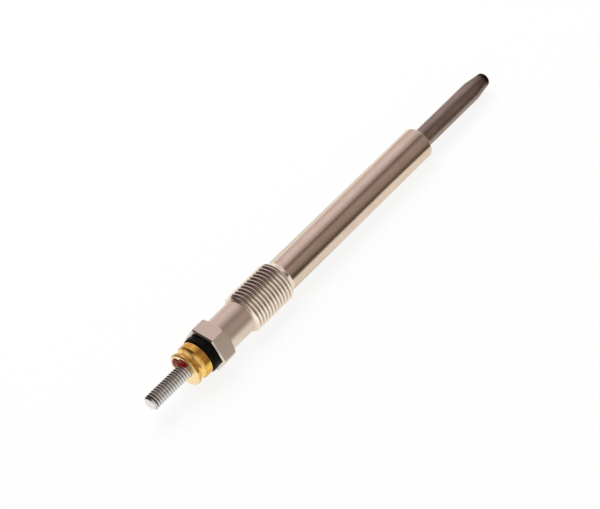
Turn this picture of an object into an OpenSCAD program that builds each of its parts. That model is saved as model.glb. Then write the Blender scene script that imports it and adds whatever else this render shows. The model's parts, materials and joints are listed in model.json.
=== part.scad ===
// Diesel glow plug with a sheathed heating element, lying as it comes to rest with one hexagon flat down:
// the engine thread and the front edge of the body touch the floor, so the axis dips a little to the front.
// The axis runs along +X from the terminal stud to the glow tip. Sizes are in millimetres.

/* [Shell] */
// Nominal diameter of the engine thread, M10 x 1
thread_d = 10; // [9:0.5:14]
// Length of the engine thread with its two lead-in chamfers
thread_len = 13.6; // [8:0.1:20]
// Axial length of each lead-in chamfer of the engine thread
thread_lead = 0.5; // [0.2:0.1:1]
// Hexagon size across flats
hex_af = 10; // [9:0.5:14]
// Length of the hexagon
hex_len = 4.1; // [3:0.1:8]
// Angle of the chamfer that rounds the hexagon's corners towards the neck
hex_chamfer_angle = 30; // [15:5:45]
// Diameter of the neck between hexagon and thread
neck_d = 8.2; // [7.6:0.1:8.8]
// Length of the neck
neck_len = 7.8; // [4:0.1:14]
// Diameter of the long body below the thread
body_d = 8; // [7.6:0.1:8.8]
// Length of the body from the thread to the sealing cone
body_len = 50.6; // [42:0.1:70]
// Axial length of the sealing cone at the nose
cone_len = 0.55; // [0.3:0.05:1.5]
// Diameter of the flat nose in front of the sealing cone
nose_d = 5.8; // [5.5:0.1:6.8]
// Diameter of the bore that the terminal rod passes through
rod_bore_d = 4.4; // [4:0.1:4.6]

/* [Glow tube] */
// Outside diameter of the glow tube
tube_d = 4.8; // [4.7:0.1:5.4]
// Wall thickness of the glow tube
tube_wall = 0.6; // [0.4:0.05:0.75]
// Length of the glow tube in front of the shell's nose
tube_out = 25.6; // [22:0.1:36]
// Length of the glow tube that is pressed into the shell
tube_in = 32; // [22:1:38]
// Length of the drawn-down taper behind the rounded tip
taper_len = 4.7; // [3:0.1:8]
// Diameter at the front of the taper
tip_d = 3.5; // [3.4:0.1:4]
// Radius of the rounded edge of the tip
tip_round = 0.7; // [0.3:0.1:1.2]
// Thickness of the tip's closed end
tip_wall = 0.9; // [0.5:0.1:1.5]

/* [Heating element] */
// Mean diameter of both coils
coil_d = 1.6; // [1.5:0.05:1.7]
// Diameter of the resistance wire
wire_d = 0.4; // [0.3:0.05:0.45]
// Number of turns of the heating coil at the tip
heating_turns = 8; // [4:1:12]
// Length of the heating coil
heating_len = 9; // [7:0.5:12]
// Number of turns of the regulating coil behind it
regulating_turns = 15; // [8:1:20]
// Length of the regulating coil
regulating_len = 18; // [14:0.5:24]
// Play between the coils and the packed powder
coil_play = 0.02; // [0.01:0.01:0.05]
// Length of the seal in the rear end of the glow tube
tube_seal_len = 3; // [2:0.5:6]

/* [Terminal] */
// Diameter over the crests of the terminal thread, M4 x 0.7
stud_d = 3.8; // [3.6:0.05:4]
// Pitch diameter, at which the threads of stud and nut meet
pitch_d = 3.4; // [3.2:0.05:3.45]
// Length of the stud in front of the nut
stud_len = 11.1; // [6:0.1:16]
// Chamfer on the stud's free end
stud_chamfer = 0.4; // [0.2:0.05:0.6]
// Diameter of the rod inside the shell
rod_d = 3; // [2.6:0.1:3.1]
// Diameter of the rod's front end inside the glow tube
rod_front_d = 2.2; // [2.1:0.1:2.6]
// Length of the rod's thin front spigot that carries the coil
rod_spigot_len = 2; // [1:0.5:4]

/* [Head insulation] */
// Diameter of the insulating washer
washer_d = 9; // [8.6:0.1:9.8]
// Thickness of the insulating washer
washer_h = 2.2; // [1.8:0.1:4]
// Radius of the washer's rounded outer edges
washer_round = 0.7; // [0.3:0.05:0.8]
// Diameter of the washer's spigot and of the recess in the shell's head
spigot_d = 6; // [5.4:0.1:6.6]
// Length of the washer's spigot
spigot_len = 1.4; // [1:0.1:3]
// Play of the washer's hole round the stud
washer_play = 0.1; // [0.05:0.05:0.2]

/* [Round nut] */
// Diameter of the nut's collar
nut_d = 8.5; // [8.2:0.1:9]
// Height of the round nut
nut_h = 4.4; // [3.8:0.1:7]
// Diameter of the nut's front bead
bead_d = 8.3; // [8:0.1:8.6]
// Height of the nut's front bead
bead_h = 0.9; // [0.7:0.05:1.1]
// Radius of the bead's rounded front edge
bead_round = 0.35; // [0.1:0.05:0.4]
// Width of the hollow between bead and collar
cove_len = 1.75; // [1.2:0.05:2]
// Depth of the hollow below its edges
cove_depth = 0.35; // [0.2:0.05:0.5]
// Radius of the nut's other rounded edges
rim_round = 0.15; // [0.05:0.05:0.2]
// Depth of the countersink at each end of the nut's thread
nut_sink = 0.25; // [0.1:0.05:0.5]

/* [Locking lacquer] */
// Outside diameter of the lacquer dab
lacquer_d = 7; // [6:0.1:7.2]
// Thickness of the lacquer dab
lacquer_h = 0.2; // [0.1:0.05:0.5]
// Angle about the axis where the dab begins
lacquer_from = 74; // [0:1:360]
// Angle that the dab spans
lacquer_span = 134; // [90:1:180]
// Angle from the start of the dab to the point of its bare notch
notch_at = 78; // [60:1:90]
// Angle that the notch spans at the dab's edge
notch_span = 36; // [10:1:50]
// Diameter that the notch's point reaches in to
notch_d = 5.6; // [4.6:0.1:5.8]

/* [Hidden] */
$fn = 96;

// Distances along the axis from the stud's free end
nut_at = stud_len;
washer_at = nut_at + nut_h;
hex_at = washer_at + washer_h;
neck_at = hex_at + hex_len;
thread_at = neck_at + neck_len;
body_at = thread_at + thread_len;
cone_at = body_at + body_len;
nose_at = cone_at + cone_len;
tip_at = nose_at + tube_out;
tube_at = nose_at - tube_in;
tube_seal_end = tube_at + tube_seal_len;
taper_at = tip_at - tip_round - taper_len;
cavity_end = tip_at - tip_wall;

// Dip of the axis: the body's front edge lies on the floor, and so does the thread or else the hexagon
thread_end = body_at - thread_lead;
thread_dip = atan((thread_d - body_d) / 2 / (cone_at - thread_end));
hex_dip = atan((hex_af - body_d) / 2 / (cone_at - neck_at));
dip = max(thread_dip, hex_dip);
stud_end_h = body_d / 2 * cos(dip) + cone_at * sin(dip);

// The O-ring fills the recess between the washer's spigot, the rod and the shell
o_ring_d = (spigot_d - rod_d) / 2;
spigot_end = hex_at + spigot_len;
recess_end = spigot_end + o_ring_d;

// Both coils lie end to end between the rod's shoulder and the tube's closed end
coil_in_r = (coil_d - wire_d) / 2;
coil_out_r = (coil_d + wire_d) / 2;
coil_margin = wire_d / 2 + coil_play;
heating_at = cavity_end - coil_margin - heating_len;
regulating_at = heating_at - regulating_len;
rod_shoulder = regulating_at - coil_margin;
rod_end = rod_shoulder + rod_spigot_len;

// The rod steps down to its front end just outside the glow tube
rod_step_gap = 0.5;
rod_step = tube_at - rod_step_gap;

tube_r = tube_d / 2;
tube_in_r = tube_r - tube_wall;
tip_in_r = tip_d / 2 - tube_wall;
stud_r = stud_d / 2;
pitch_r = pitch_d / 2;
lacquer_at = nut_at - lacquer_h;
hex_corner_r = hex_af / sqrt(3);

// Steps of the rounded edges, of one coil turn and of the wire's section
round_steps = 6;
turn_steps = 12;
wire_sides = 6;
// Overlap of the cutting shapes past the faces that they open
cut_over = 1;

// Points of an arc about a centre, from one angle to another
function arc(centre, r, from, to) =
    [for (i = [0 : round_steps]) let (a = from + (to - from) * i / round_steps) centre + r * [cos(a), sin(a)]];

// Lays the axis, drawn along +Z from the stud's end, along +X as the plug comes to rest on the floor
module lay() {
    translate([-tip_at * cos(dip) / 2, 0, stud_end_h])
        rotate([0, 90 + dip, 0])
            children();
}

// A turned piece: the outline gives radius and distance along the axis
module turned(outline) {
    rotate_extrude()
        polygon(outline);
}

// A wire wound round the axis, with its section in the plane through the axis
module coil(start, len, turns) {
    rings = turns * turn_steps;
    points = [
        for (i = [0 : rings], j = [0 : wire_sides - 1])
            let (
                a = 360 * i / turn_steps,
                b = 360 * j / wire_sides,
                r = coil_d / 2 + wire_d / 2 * cos(b)
            )
            [r * cos(a), r * sin(a), start + len * i / rings + wire_d / 2 * sin(b)]
    ];
    sides = [
        for (i = [0 : rings - 1], j = [0 : wire_sides - 1])
            let (k = (j + 1) % wire_sides, near = i * wire_sides, far = near + wire_sides)
            each [[near + j, near + k, far + k], [near + j, far + k, far + j]]
    ];
    first_end = [for (j = [wire_sides - 1 : -1 : 0]) j];
    last_end = [for (j = [0 : wire_sides - 1]) rings * wire_sides + j];
    polyhedron(points, concat(sides, [first_end, last_end]));
}

// Hexagon with its corners chamfered round towards the neck
module hexagon() {
    wide_r = hex_corner_r + cut_over;
    intersection() {
        translate([0, 0, hex_at])
            rotate(30)
                cylinder(h = hex_len, r = hex_corner_r, $fn = 6);
        turned([
            [0, hex_at], [wide_r, hex_at],
            [wide_r, neck_at - (wide_r - hex_af / 2) * tan(hex_chamfer_angle)],
            [hex_af / 2, neck_at], [0, neck_at]
        ]);
    }
}

// Turned steel housing: hexagon, neck, engine thread at its full diameter, body and sealing cone
module shell() {
    neck_from = neck_at - cut_over;
    color("#b9aaa3")
        lay()
            difference() {
                union() {
                    hexagon();
                    turned([
                        [0, neck_from], [neck_d / 2, neck_from], [neck_d / 2, thread_at],
                        [thread_d / 2, thread_at + thread_lead], [thread_d / 2, thread_end],
                        [body_d / 2, body_at], [body_d / 2, cone_at],
                        [nose_d / 2, nose_at], [0, nose_at]
                    ]);
                }
                turned([
                    [0, hex_at - cut_over], [spigot_d / 2, hex_at - cut_over], [spigot_d / 2, recess_end],
                    [rod_bore_d / 2, recess_end], [rod_bore_d / 2, tube_at],
                    [tube_r, tube_at], [tube_r, nose_at + cut_over], [0, nose_at + cut_over]
                ]);
            }
}

// Closed tube, drawn down to a narrower tip with a rounded edge
module glow_tube() {
    color("#5f4b44")
        lay()
            turned(concat(
                [[tube_in_r, tube_at], [tube_r, tube_at], [tube_r, taper_at]],
                arc([tip_d / 2 - tip_round, tip_at - tip_round], tip_round, 0, 90),
                [[0, tip_at], [0, cavity_end], [tip_in_r, cavity_end], [tube_in_r, taper_at]]
            ));
}

// Coil that glows, against the tube's closed end
module heating_coil() {
    color("#a0703c")
        lay()
            coil(heating_at, heating_len, heating_turns);
}

// Coil that limits the current, slipped on the rod's front spigot
module regulating_coil() {
    color("#8d8f94")
        lay()
            coil(regulating_at, regulating_len, regulating_turns);
}

// Packed powder: a sleeve round the rod and the coils, and a core inside the coils
module magnesia_fill() {
    color("#e6e0d4")
        lay() {
            turned([
                [rod_front_d / 2, tube_seal_end], [tube_in_r, tube_seal_end], [tube_in_r, taper_at],
                [tip_in_r, cavity_end], [coil_out_r + coil_play, cavity_end],
                [coil_out_r + coil_play, rod_shoulder], [rod_front_d / 2, rod_shoulder]
            ]);
            translate([0, 0, rod_end])
                cylinder(h = cavity_end - rod_end, r = coil_in_r - coil_play);
        }
}

// Bush that closes the rear end of the glow tube
module tube_seal() {
    color("#4a4a48")
        lay()
            turned([
                [rod_front_d / 2, tube_at], [tube_in_r, tube_at],
                [tube_in_r, tube_seal_end], [rod_front_d / 2, tube_seal_end]
            ]);
}

// Rod from the threaded stud to the spigot that carries the coils
module terminal_rod() {
    color("#c9ccd0")
        lay()
            turned([
                [0, 0], [stud_r - stud_chamfer, 0], [stud_r, stud_chamfer],
                [stud_r, lacquer_at], [pitch_r, lacquer_at], [pitch_r, spigot_end], [rod_d / 2, spigot_end],
                [rod_d / 2, rod_step], [rod_front_d / 2, rod_step],
                [rod_front_d / 2, rod_shoulder], [coil_in_r - coil_play, rod_shoulder],
                [coil_in_r - coil_play, rod_end], [0, rod_end]
            ]);
}

// Rubber ring between the rod and the recess in the shell's head
module head_o_ring() {
    color("#2b2b2b")
        lay()
            translate([0, 0, spigot_end + o_ring_d / 2])
                rotate_extrude()
                    translate([(spigot_d + rod_d) / 4, 0])
                        circle(d = o_ring_d);
}

// Black insulator with rounded edges and a spigot that centres it in the shell
module insulating_washer() {
    edge_r = washer_d / 2 - washer_round;
    hole_r = stud_r + washer_play;
    color("#1b1718")
        lay()
            turned(concat(
                [[hole_r, washer_at]],
                arc([edge_r, washer_at + washer_round], washer_round, -90, 0),
                arc([edge_r, hex_at - washer_round], washer_round, 0, 90),
                [[spigot_d / 2, hex_at], [spigot_d / 2, spigot_end], [hole_r, spigot_end]]
            ));
}

// Brass nut: front bead, hollow, and a collar on the washer
module round_nut() {
    bead_r = bead_d / 2;
    bead_end = nut_at + bead_h;
    cove_edge_r = bead_r - rim_round;
    cove_r = (pow(cove_len / 2, 2) + pow(cove_depth, 2)) / (2 * cove_depth);
    cove_half = asin(cove_len / 2 / cove_r);
    cove_centre = [cove_edge_r - cove_depth + cove_r, bead_end + cove_len / 2];
    collar_at = bead_end + cove_len;
    collar_edge_r = nut_d / 2 - rim_round;
    color("#c69a3f")
        lay()
            turned(concat(
                [[pitch_r, nut_at + nut_sink], [pitch_r + nut_sink, nut_at]],
                arc([bead_r - bead_round, nut_at + bead_round], bead_round, -90, 0),
                arc([cove_edge_r, bead_end - rim_round], rim_round, 0, 90),
                arc(cove_centre, cove_r, 180 + cove_half, 180 - cove_half),
                arc([collar_edge_r, collar_at + rim_round], rim_round, -90, 0),
                arc([collar_edge_r, washer_at - rim_round], rim_round, 0, 90),
                [[pitch_r + nut_sink, washer_at], [pitch_r, washer_at - nut_sink]]
            ));
}

// Dab of lacquer on the nut's face, from the stud outwards, with a notch where the brass is bare
module locking_lacquer() {
    dab_r = lacquer_d / 2;
    notch_r = dab_r / cos(notch_span);
    color("#7d1f18")
        lay()
            translate([0, 0, lacquer_at])
                rotate(lacquer_from)
                    difference() {
                        rotate_extrude(angle = lacquer_span)
                            translate([pitch_r, 0])
                                square([dab_r - pitch_r, lacquer_h]);
                        translate([0, 0, -cut_over])
                            rotate(notch_at)
                                linear_extrude(lacquer_h + 2 * cut_over)
                                    polygon([
                                        [notch_d / 2, 0],
                                        notch_r * [cos(notch_span / 2), -sin(notch_span / 2)],
                                        notch_r * [cos(notch_span / 2), sin(notch_span / 2)]
                                    ]);
                    }
}

shell();
glow_tube();
heating_coil();
regulating_coil();
magnesia_fill();
tube_seal();
terminal_rod();
head_o_ring();
insulating_washer();
round_nut();
locking_lacquer();
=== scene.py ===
"""Visual model of a diesel glow plug, laid out as a Blender add-on and run as a script.

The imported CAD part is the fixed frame. The pieces that show are grids worked out with numpy in the plug's
own coordinates: distance along the axis from the stud's free end, and radius and angle about the axis.
"""

import json
import math
from types import SimpleNamespace

import bmesh
import bpy
import numpy as np
from bpy.props import FloatProperty, FloatVectorProperty, PointerProperty
from bpy.types import Operator, Panel, PropertyGroup
from mathutils import Matrix, Vector


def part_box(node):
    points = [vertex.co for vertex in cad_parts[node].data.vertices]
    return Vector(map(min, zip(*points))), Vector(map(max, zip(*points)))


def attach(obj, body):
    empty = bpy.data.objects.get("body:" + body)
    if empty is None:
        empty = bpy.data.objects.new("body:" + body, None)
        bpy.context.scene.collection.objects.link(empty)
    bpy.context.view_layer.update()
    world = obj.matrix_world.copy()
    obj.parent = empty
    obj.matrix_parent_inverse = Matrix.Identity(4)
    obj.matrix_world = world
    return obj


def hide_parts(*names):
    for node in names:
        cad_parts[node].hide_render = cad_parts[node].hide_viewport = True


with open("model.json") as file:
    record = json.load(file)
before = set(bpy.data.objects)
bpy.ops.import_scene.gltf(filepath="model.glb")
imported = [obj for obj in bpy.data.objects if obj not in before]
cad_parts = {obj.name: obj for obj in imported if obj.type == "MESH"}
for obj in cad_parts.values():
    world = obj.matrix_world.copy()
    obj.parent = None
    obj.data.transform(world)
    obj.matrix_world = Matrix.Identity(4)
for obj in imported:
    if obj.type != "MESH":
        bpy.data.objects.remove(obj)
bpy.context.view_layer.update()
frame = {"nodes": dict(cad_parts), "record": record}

bl_info = {
    "name": "Diesel glow plug",
    "version": (1, 0, 0),
    "blender": (4, 5, 0),
    "location": "View3D > Sidebar > Glow plug",
    "description": "Builds the visible pieces, the finishes and the stage of a diesel glow plug",
    "category": "Object",
}

BODY = "root"
MM = 0.001
TURN = 2.0 * math.pi
SIXTH = math.radians(60.0)
TWELFTH = math.radians(30.0)

# Grid steps round the axis, over one pitch of thread and on one rounded edge, and grid points on half an
# edge and on half a flat of the hexagon
ROUND_COLUMNS = 128
THREAD_STEPS = 14
EDGE_STEPS = 4
HEX_EDGE_COLUMNS = 4
HEX_FLAT_COLUMNS = 13

# Distance at which grid points join, and the angle from which an edge shades sharp
JOIN = 0.0001 * MM
SHARP_ANGLE = math.radians(40.0)

# A rounded corner takes at most this share of its shorter edge, and its guard rows stand this many cuts away
MOST_CUT = 0.3
GUARD = 1.5

# Waves to the metre, along the axis and across it, of a lathe's rings, and in all directions of fine speckle
# and of the waves in the brass
RING_WAVES = (26000.0, 500.0, 500.0)
SPECKLE_WAVES = (4000.0,) * 3
BRASS_WAVES = (500.0,) * 3

# Depth of a lathe's rings and of the waves in the brass
RING_DEPTH = 0.004 * MM
BRASS_DEPTH = 0.15 * MM


def length(name, description, millimetres):
    """A length property, written in millimetres and stored in metres."""
    return FloatProperty(
        name=name,
        description=description,
        default=millimetres * MM,
        min=0.0,
        precision=5,
        unit="LENGTH",
        subtype="DISTANCE",
    )


def angle(name, description, degrees):
    """An angle property, written in degrees and stored in radians."""
    return FloatProperty(
        name=name,
        description=description,
        default=math.radians(degrees),
        unit="ROTATION",
        subtype="ANGLE",
    )


def tint(name, description, red, green, blue):
    """A colour property in linear light."""
    return FloatVectorProperty(
        name=name,
        description=description,
        default=(red, green, blue),
        size=3,
        min=0.0,
        max=1.0,
        subtype="COLOR",
    )


def number(name, description, value):
    """A plain factor."""
    return FloatProperty(name=name, description=description, default=value, min=0.0, subtype="FACTOR")


class ShellSizes(PropertyGroup):
    """Sizes of the turned and plated steel shell."""

    hex_af: length("Hexagon", "Hexagon size across flats", 10.0)
    hex_len: length("Hexagon length", "Length of the hexagon along the axis", 4.1)
    hex_chamfer: angle("Hexagon chamfer", "Angle of the chamfer that rounds the hexagon's corners", 30.0)
    hex_edge: length("Hexagon edge", "Radius of the edges between the hexagon's flats", 0.2)
    near_width: length("Near chamfer width", "Width of the flat chamfer round the hexagon's near face", 0.5)
    near_depth: length("Near chamfer depth", "Depth of that chamfer along the axis", 0.25)
    face_inset: length("Face inset", "How far the turned face ends inside the flats", 0.06)
    neck_d: length("Neck diameter", "Diameter of the neck between hexagon and thread", 8.2)
    neck_len: length("Neck length", "Length of the neck", 7.8)
    thread_d: length("Thread diameter", "Diameter over the crests of the engine thread", 9.96)
    thread_pitch: length("Thread pitch", "Pitch of the engine thread", 1.0)
    thread_depth: length("Thread depth", "Depth of the engine thread", 0.45)
    thread_len: length("Thread length", "Length of the engine thread with its lead-in chamfers", 13.6)
    thread_lead: length("Thread lead-in", "Axial length of the chamfer at the neck", 0.5)
    thread_run_out: length("Thread run-out", "Axial length of the cone that ends the thread at the body", 1.8)
    body_d: length("Body diameter", "Diameter of the long body", 8.0)
    body_len: length("Body length", "Length of the body from the thread to the sealing cone", 50.6)
    cone_len: length("Cone length", "Axial length of the sealing cone", 0.55)
    nose_d: length("Nose diameter", "Diameter of the flat nose in front of the cone", 5.8)
    bore_d: length("Bore", "Diameter of the bore round the terminal rod", 4.4)
    edge: length("Edge break", "Setback of the broken edges", 0.12)


class ElementSizes(PropertyGroup):
    """Sizes of the glow tube."""

    tube_d: length("Tube diameter", "Outside diameter of the glow tube", 4.8)
    tube_wall: length("Tube wall", "Wall thickness of the glow tube", 0.6)
    tube_out: length("Tube length outside", "Length of the tube in front of the shell's nose", 25.6)
    tube_in: length("Tube length inside", "Length of the tube inside the shell", 32.0)
    taper_len: length("Taper length", "Length of the taper behind the rounded tip", 4.7)
    tip_d: length("Tip diameter", "Diameter at the front of the taper", 3.5)
    tip_round: length("Tip rounding", "Radius of the rounded edge of the tip", 0.7)
    tip_wall: length("Tip wall", "Thickness of the closed end", 0.9)


class TerminalSizes(PropertyGroup):
    """Sizes of the stud, the nut, the washer and the lacquer."""

    stud_d: length("Stud diameter", "Diameter over the crests of the terminal thread", 3.7)
    stud_len: length("Stud length", "Length of the stud in front of the nut", 11.1)
    stud_pitch: length("Stud pitch", "Pitch of the terminal thread", 0.7)
    stud_depth: length("Stud thread depth", "Depth of the terminal thread", 0.32)
    stud_chamfer: length("Stud chamfer", "Chamfer on the stud's free end", 0.4)
    pitch_d: length("Pitch diameter", "Diameter of the rod inside the nut", 3.4)
    rod_d: length("Rod diameter", "Diameter of the rod inside the shell", 3.0)
    rod_front_d: length("Rod front diameter", "Diameter of the rod inside the glow tube", 2.2)
    rod_tip_d: length("Rod tip diameter", "Diameter of the spigot that carries the coil", 1.16)
    rod_tip_len: length("Rod tip length", "Length of the spigot that carries the coil", 2.0)
    rod_step: length("Rod step", "How far behind the glow tube the rod gets thinner", 0.5)
    rod_edge: length("Rod edge", "Setback of the rod's rounded edges", 0.1)
    nut_d: length("Nut diameter", "Diameter of the nut's collar", 8.5)
    nut_h: length("Nut height", "Height of the round nut", 4.4)
    bead_d: length("Bead diameter", "Diameter of the nut's front bead", 8.3)
    bead_h: length("Bead height", "Height of the nut's front bead", 0.9)
    bead_round: length("Bead rounding", "Radius of the bead's front edge", 0.35)
    cove_len: length("Hollow width", "Width of the hollow between bead and collar", 1.75)
    cove_depth: length("Hollow depth", "Depth of the hollow below its edges", 0.35)
    rim_round: length("Rim rounding", "Radius of the nut's other edges", 0.15)
    nut_sink: length("Nut countersink", "Depth of the countersink of the nut's thread", 0.25)
    washer_d: length("Washer diameter", "Diameter of the insulating washer", 9.0)
    washer_h: length("Washer height", "Thickness of the insulating washer", 2.2)
    washer_round: length("Washer rounding", "Radius of the washer's rounded edges", 0.7)
    spigot_d: length("Spigot diameter", "Diameter of the washer's spigot", 6.0)
    spigot_len: length("Spigot length", "Length of the washer's spigot", 1.4)
    washer_bore: length("Washer bore", "Diameter of the washer's hole round the stud", 4.0)
    lacquer_d: length("Lacquer diameter", "Diameter that the lacquer reaches out to", 7.0)
    lacquer_h: length("Lacquer height", "Thickness of the lacquer", 0.2)
    lacquer_climb: length("Lacquer climb", "How far the lacquer climbs the stud", 0.6)
    lacquer_foot: length("Lacquer foot", "Width of the lacquer that climbs", 0.5)
    lacquer_sunk: length("Lacquer overlap", "How far the lacquer reaches into the stud's thread", 0.2)
    lacquer_under: length("Lacquer underside", "How far the lacquer reaches into the nut's face", 0.02)
    lacquer_from: angle("Lacquer start", "Angle about the axis where the lacquer begins", 74.0)
    lacquer_span: angle("Lacquer span", "Angle that the lacquer covers", 134.0)
    notch_at: angle("Notch place", "Angle from the lacquer's start to the bare notch", 78.0)
    notch_span: angle("Notch span", "Angle that the notch spans at the lacquer's edge", 36.0)
    notch_d: length("Notch diameter", "Diameter that the notch reaches in to", 5.6)


class Finishes(PropertyGroup):
    """Colours of the finishes."""

    nickel: tint("Nickel", "Satin nickel plating of the shell", 0.79, 0.685, 0.58)
    nickel_stain: tint("Nickel stain", "Faint stains in the plating", 0.73, 0.615, 0.51)
    nickel_pale: tint("Pale nickel", "Duller and paler plating of the hexagon", 0.83, 0.74, 0.65)
    # Painted highlight: brighter plating over the engine thread, so that its glints come out white.
    thread_highlight: tint("Nickel crest", "Bright plating on the crests of the engine thread", 0.95, 0.88, 0.79)
    # Painted shade: dark plating laid into the engine thread's grooves.
    nickel_groove_shade: tint("Nickel groove", "Dark plating in the engine thread's grooves", 0.28, 0.205, 0.165)
    alloy: tint("Tube alloy", "Oxidised alloy of the glow tube", 0.38, 0.31, 0.28)
    # Darker alloy colour towards the tip.
    tip_darkening: tint("Scorched alloy", "Alloy darkened by heat at the tip", 0.022, 0.013, 0.010)
    zinc: tint("Zinc", "Zinc plating of the terminal rod", 0.86, 0.86, 0.85)
    # Painted shade: dull plating laid into the terminal thread's grooves.
    zinc_groove_shade: tint("Zinc groove", "Dull plating in the thread's grooves", 0.38, 0.36, 0.34)
    # Darker colour still in the first grooves behind the stud's end, over the painted groove shade.
    first_grooves_dark: tint("First groove", "Dirt in the first grooves behind the stud's end", 0.05, 0.042, 0.035)
    brass: tint("Brass", "Bright turned brass", 0.93, 0.58, 0.14)
    # Painted highlight: brighter brass laid into the nut's hollow.
    hollow_highlight: tint("Brass hollow", "Brighter brass in the nut's hollow", 1.0, 0.71, 0.25)
    # Painted highlight: paler brass laid onto the nut's faced end.
    face_highlight: tint("Brass face", "Paler brass of the nut's faced end", 1.0, 0.77, 0.43)
    tarnish: tint("Tarnish", "Brown tarnish on the brass", 0.68, 0.34, 0.055)
    insulator: tint("Insulator", "Black insulating plastic", 0.006, 0.005, 0.005)
    rubber: tint("Rubber", "Seal rubber", 0.03, 0.03, 0.03)
    lacquer: tint("Lacquer", "Dark red locking lacquer", 0.30, 0.016, 0.006)
    magnesia: tint("Magnesia", "Packed white powder", 0.80, 0.78, 0.72)
    heating_wire: tint("Heating wire", "Resistance wire of the heating coil", 0.45, 0.36, 0.30)
    regulating_wire: tint("Regulating wire", "Wire of the regulating coil", 0.58, 0.58, 0.60)


class StageSettings(PropertyGroup):
    """Camera, light and floor."""

    azimuth: angle("Azimuth", "Direction of the camera about the vertical", -43.711)
    elevation: angle("Elevation", "Height of the camera as an angle", 47.979)
    roll: angle("Roll", "Turn of the camera about its own axis", -9.558)
    distance: length("Distance", "Distance from the aim to the camera", 444.3)
    aim: length("Aim", "Distance along the plug's axis of the point that the camera aims at", 50.73)
    aim_side: FloatVectorProperty(
        name="Aim offset",
        description="Offset of the aim from the plug's axis",
        default=(0.00001, 0.00047, 0.00031),
        size=3,
        unit="LENGTH",
        subtype="TRANSLATION",
    )
    lens: FloatProperty(name="Lens", description="Focal length", default=120.0, unit="CAMERA")
    floor_size: length("Floor size", "Side of the square floor", 6000.0)
    floor: tint("Floor", "Colour of the floor", 0.90, 0.915, 0.915)
    floor_glow: number("Floor glow", "Share of plain white that the camera sees in the floor", 0.87)
    # Painted reflection: paper and table colours that only reflections see in the floor.
    sheet: tint("Sheet", "Colour of the paper under the plug in reflections", 0.93, 0.87, 0.78)
    painted_white_sheet: tint("White sheet", "Colour of the paper beside the stud in reflections", 1.0, 1.0, 0.98)
    painted_table_near: tint("Near table", "Colour of the table beside the paper in reflections", 0.08, 0.055, 0.04)
    painted_table_far: tint("Far table", "Colour of the table further away in reflections", 0.14, 0.10, 0.075)
    lamp_height: length("Lamp height", "Height of the soft lamp", 700.0)
    lamp_size: length("Lamp size", "Side of the soft lamp", 600.0)
    lamp_power: FloatProperty(
        name="Lamp power", description="Power of the soft lamp", default=5.0, unit="POWER"
    )


class PlugSettings(PropertyGroup):
    """Everything that a user would change."""

    shell: PointerProperty(type=ShellSizes)
    element: PointerProperty(type=ElementSizes)
    terminal: PointerProperty(type=TerminalSizes)
    finish: PointerProperty(type=Finishes)
    stage: PointerProperty(type=StageSettings)


def stations(plug):
    """Distances along the axis from the stud's free end, each the sum of the lengths before it."""
    shell, element, terminal = plug.shell, plug.element, plug.terminal
    at = SimpleNamespace()
    at.nut = terminal.stud_len
    at.washer = at.nut + terminal.nut_h
    at.hex = at.washer + terminal.washer_h
    at.spigot_end = at.hex + terminal.spigot_len
    at.recess_end = at.spigot_end + (terminal.spigot_d - terminal.rod_d) / 2.0
    at.neck = at.hex + shell.hex_len
    at.thread = at.neck + shell.neck_len
    at.body = at.thread + shell.thread_len
    at.cone = at.body + shell.body_len
    at.nose = at.cone + shell.cone_len
    at.tip = at.nose + element.tube_out
    at.tube = at.nose - element.tube_in
    at.taper = at.tip - element.tip_round - element.taper_len
    at.cavity_end = at.tip - element.tip_wall
    return at


def plug_frame(plug):
    """Stud's free end and the plug's three directions: along the axis, down and to the side.

    The engine thread's mount gives the axis, and one hexagon flat faces down.
    """
    mounts = {mount["name"]: mount for mount in frame["record"]["mounts"]}
    thread = mounts["engine_thread"]
    along = Vector(thread["axis"]).normalized()
    middle = stations(plug).thread + plug.shell.thread_len / 2.0
    stud_end = Vector(thread["pos_m"]) - along * middle
    side = Vector((0.0, 1.0, 0.0))
    down = side.cross(along)
    return stud_end, along, down, side


def about_axis(along, radius, theta):
    """Points of the plug's coordinates: distance along the axis, radius cos theta and radius sin theta."""
    along, radius, theta = np.broadcast_arrays(along, radius, theta)
    return np.stack([along, radius * np.cos(theta), radius * np.sin(theta)], axis=-1)


def round_columns(count=ROUND_COLUMNS):
    """Evenly spaced angles about the axis, from zero to a full turn."""
    return np.linspace(0.0, TURN, count + 1)


def rounded(corners, setback, steps=EDGE_STEPS):
    """Open outline whose inner corners are rounded.

    A corner is cut back along both its edges, by the setback or by the most that the shorter edge allows. A
    parabola with the corner as its control point bridges the cut: the corner plus (1 - t) squared times the
    cut back plus t squared times the cut ahead. A guard row on either side keeps the long faces flat.
    """
    corners = np.asarray(corners, dtype=float)
    inner = corners[1:-1]
    back, ahead = corners[:-2] - inner, corners[2:] - inner
    back_len = np.linalg.norm(back, axis=-1)
    ahead_len = np.linalg.norm(ahead, axis=-1)
    setback = np.asarray(setback, dtype=float).reshape((-1,) + (1,) * (inner.ndim - 2))
    cut = np.minimum(setback, MOST_CUT * np.minimum(back_len, ahead_len))
    back *= (cut / back_len)[..., None]
    ahead *= (cut / ahead_len)[..., None]
    t = np.linspace(0.0, 1.0, steps + 1).reshape((1, -1) + (1,) * (inner.ndim - 1))
    back, ahead, inner = back[:, None], ahead[:, None], inner[:, None]
    bend = inner + (1.0 - t) ** 2 * back + t**2 * ahead
    bend = np.concatenate([inner + GUARD * back, bend, inner + GUARD * ahead], axis=1)
    return np.concatenate([corners[:1], bend.reshape((-1,) + corners.shape[1:]), corners[-1:]])


def arc(centre, radius, start, stop, steps=12):
    """Points of a circular arc about a centre: centre plus radius times cosine and sine."""
    angles = np.linspace(math.radians(start), math.radians(stop), steps + 1)
    return np.stack([centre[0] + radius * np.cos(angles), centre[1] + radius * np.sin(angles)], axis=-1)


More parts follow.
